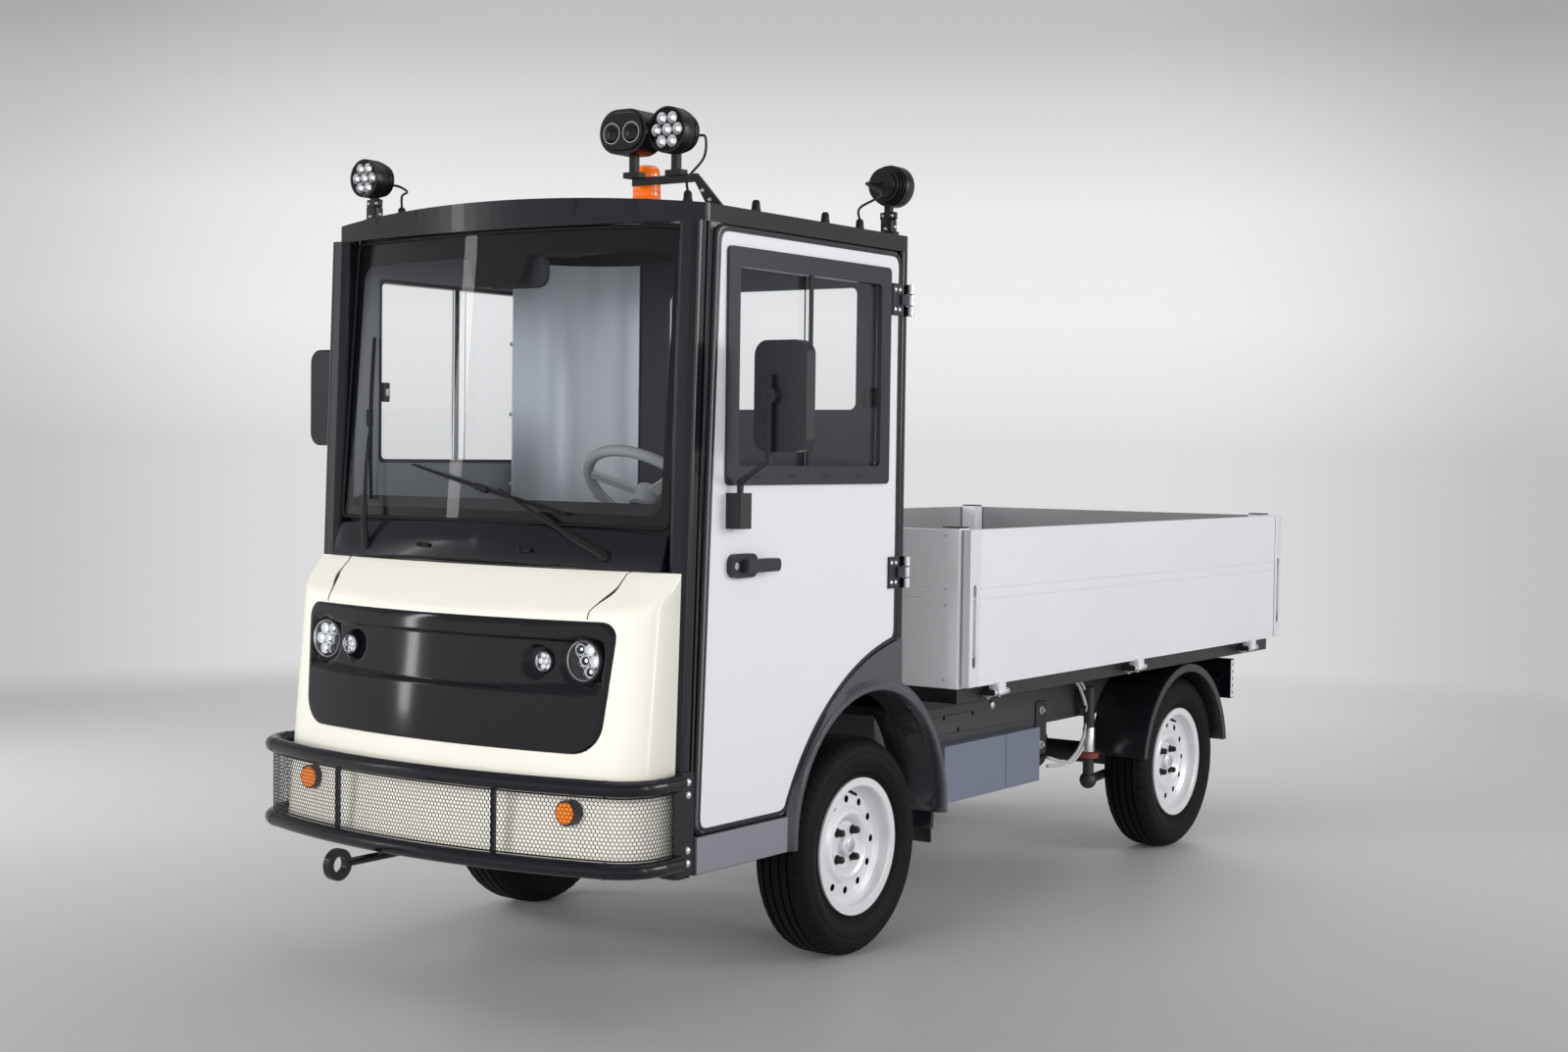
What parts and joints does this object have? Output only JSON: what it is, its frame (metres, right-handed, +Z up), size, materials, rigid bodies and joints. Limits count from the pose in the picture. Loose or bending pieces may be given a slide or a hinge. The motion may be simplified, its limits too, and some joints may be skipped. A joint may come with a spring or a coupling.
{
  "type": "electric platform truck with cab and dropside bed",
  "caption": "Small electric platform truck with a closed two-door cab, roof lamps, a front tow eye and an aluminium dropside load bed on steel wheels.",
  "frame": {"origin": "middle of the truck's box on the ground", "axes": "-Y is forward, +X is the truck's left side, +Z is up"},
  "size_m": [1.66, 3.943, 2.148],
  "materials": {
    "frame_dark": "satin",
    "axle_steel": "matte",
    "cab_black": "semi-gloss",
    "cream_gloss": "gloss",
    "panel_black": "high gloss",
    "door_white": "semi-gloss",
    "wing_grey": "metallic satin",
    "guard_black": "satin",
    "alloy": "anodised",
    "tyre": "matte",
    "rim_silver": "semi-gloss",
    "box_grey": "satin",
    "glass": "clear",
    "lamp_clear": "clear",
    "lamp_body": "matte",
    "lamp_red": "clear",
    "inner_grey": "satin",
    "trim_black": "satin",
    "seat_vinyl": "grained"
  },
  "bodies": {
    "truck": {"chassis_rails": "frame_dark", "crossmembers": "frame_dark", "front_axle": "axle_steel", "rear_axle": "axle_steel", "springs": "axle_steel", "battery_box": "box_grey", "cab_tub": "inner_grey", "cab_pillars": "cab_black", "roof": "cab_black", "rear_wall": "inner_grey", "rear_window": "glass", "windscreen": "glass", "cowl": "cab_black", "wipers": "trim_black", "nose_shell": "cream_gloss", "bonnet": "cream_gloss", "front_panel": "panel_black", "front_lamps": "lamp_clear", "bumper_frame": "cab_black", "bumper_mesh": "cab_black", "tow_eye": "frame_dark", "front_wings": "wing_grey", "mudguards": "guard_black", "dashboard": "trim_black", "seat": "seat_vinyl", "roof_lamps": "lamp_body", "bed_floor": "alloy", "bed_frame": "frame_dark", "headboard": "alloy", "corner_posts": "alloy", "tail_lamps": "lamp_red", "tow_coupling": "frame_dark"},
    "knuckle_left": {"knuckle_left": "axle_steel"},
    "knuckle_right": {"knuckle_right": "axle_steel"},
    "tie_rod": {"tie_rod": "axle_steel"},
    "steering_wheel": {"steering_wheel": "trim_black"},
    "wheel_front_left": {"tyre_front_left": "tyre", "rim_front_left": "rim_silver"},
    "wheel_front_right": {"tyre_front_right": "tyre", "rim_front_right": "rim_silver"},
    "wheel_rear_left": {"tyre_rear_left": "tyre", "rim_rear_left": "rim_silver"},
    "wheel_rear_right": {"tyre_rear_right": "tyre", "rim_rear_right": "rim_silver"},
    "door_left": {"door_left": "door_white", "door_trim_left": "trim_black", "door_glass_left": "glass", "mirror_left": "trim_black"},
    "door_right": {"door_right": "door_white", "door_trim_right": "trim_black", "door_glass_right": "glass", "mirror_right": "trim_black"},
    "side_board_left": {"side_board_left": "alloy"},
    "side_board_right": {"side_board_right": "alloy"},
    "tailgate": {"tailgate": "alloy"}
  },
  "joints": [
    {"name": "steer_left", "type": "hinge", "parent": "truck", "child": "knuckle_left", "pos_m": [0.43, -0.7495, 0.289], "axis": [0, 0, 1], "range_deg": [-32, 32]},
    {"name": "steer_right", "type": "hinge", "parent": "truck", "child": "knuckle_right", "pos_m": [-0.43, -0.7495, 0.289], "axis": [0, 0, 1], "range_deg": [-32, 32]},
    {"name": "tie_rod_pivot", "type": "hinge", "parent": "knuckle_left", "child": "tie_rod", "pos_m": [0.43, -0.6295, 0.21], "axis": [0, 0, 1], "range_deg": [-32, 32]},
    {"name": "steering_wheel_turn", "type": "hinge", "parent": "truck", "child": "steering_wheel", "pos_m": [0.29, -1.2595, 1.215], "axis": [0, 0.6428, 0.766], "range_deg": [-480, 480]},
    {"name": "wheel_front_left_spin", "type": "hinge", "parent": "knuckle_left", "child": "wheel_front_left", "pos_m": [0.532, -0.7495, 0.289], "axis": [1, 0, 0], "continuous": true},
    {"name": "wheel_rear_left_spin", "type": "hinge", "parent": "truck", "child": "wheel_rear_left", "pos_m": [0.532, 1.2365, 0.289], "axis": [1, 0, 0], "continuous": true},
    {"name": "door_left_swing", "type": "hinge", "parent": "truck", "child": "door_left", "pos_m": [0.623, -0.5685, 1], "axis": [0, 0, 1], "range_deg": [0, 80]},
    {"name": "side_board_left_drop", "type": "hinge", "parent": "truck", "child": "side_board_left", "pos_m": [0.664, 0.837, 0.648], "axis": [0, 1, 0], "range_deg": [0, 180]},
    {"name": "wheel_front_right_spin", "type": "hinge", "parent": "knuckle_right", "child": "wheel_front_right", "pos_m": [-0.532, -0.7495, 0.289], "axis": [1, 0, 0], "continuous": true},
    {"name": "wheel_rear_right_spin", "type": "hinge", "parent": "truck", "child": "wheel_rear_right", "pos_m": [-0.532, 1.2365, 0.289], "axis": [1, 0, 0], "continuous": true},
    {"name": "door_right_swing", "type": "hinge", "parent": "truck", "child": "door_right", "pos_m": [-0.623, -0.5685, 1], "axis": [0, 0, -1], "range_deg": [0, 80]},
    {"name": "side_board_right_drop", "type": "hinge", "parent": "truck", "child": "side_board_right", "pos_m": [-0.664, 0.837, 0.648], "axis": [0, -1, 0], "range_deg": [0, 180]},
    {"name": "tailgate_drop", "type": "hinge", "parent": "truck", "child": "tailgate", "pos_m": [0, 1.9615, 0.648], "axis": [-1, 0, 0], "range_deg": [0, 180]}
  ],
  "couplings": [
    {"joint": "steer_right", "follows": "steer_left", "ratio": 1},
    {"joint": "tie_rod_pivot", "follows": "steer_left", "ratio": -1},
    {"joint": "steering_wheel_turn", "follows": "steer_left", "ratio": 15}
  ]
}
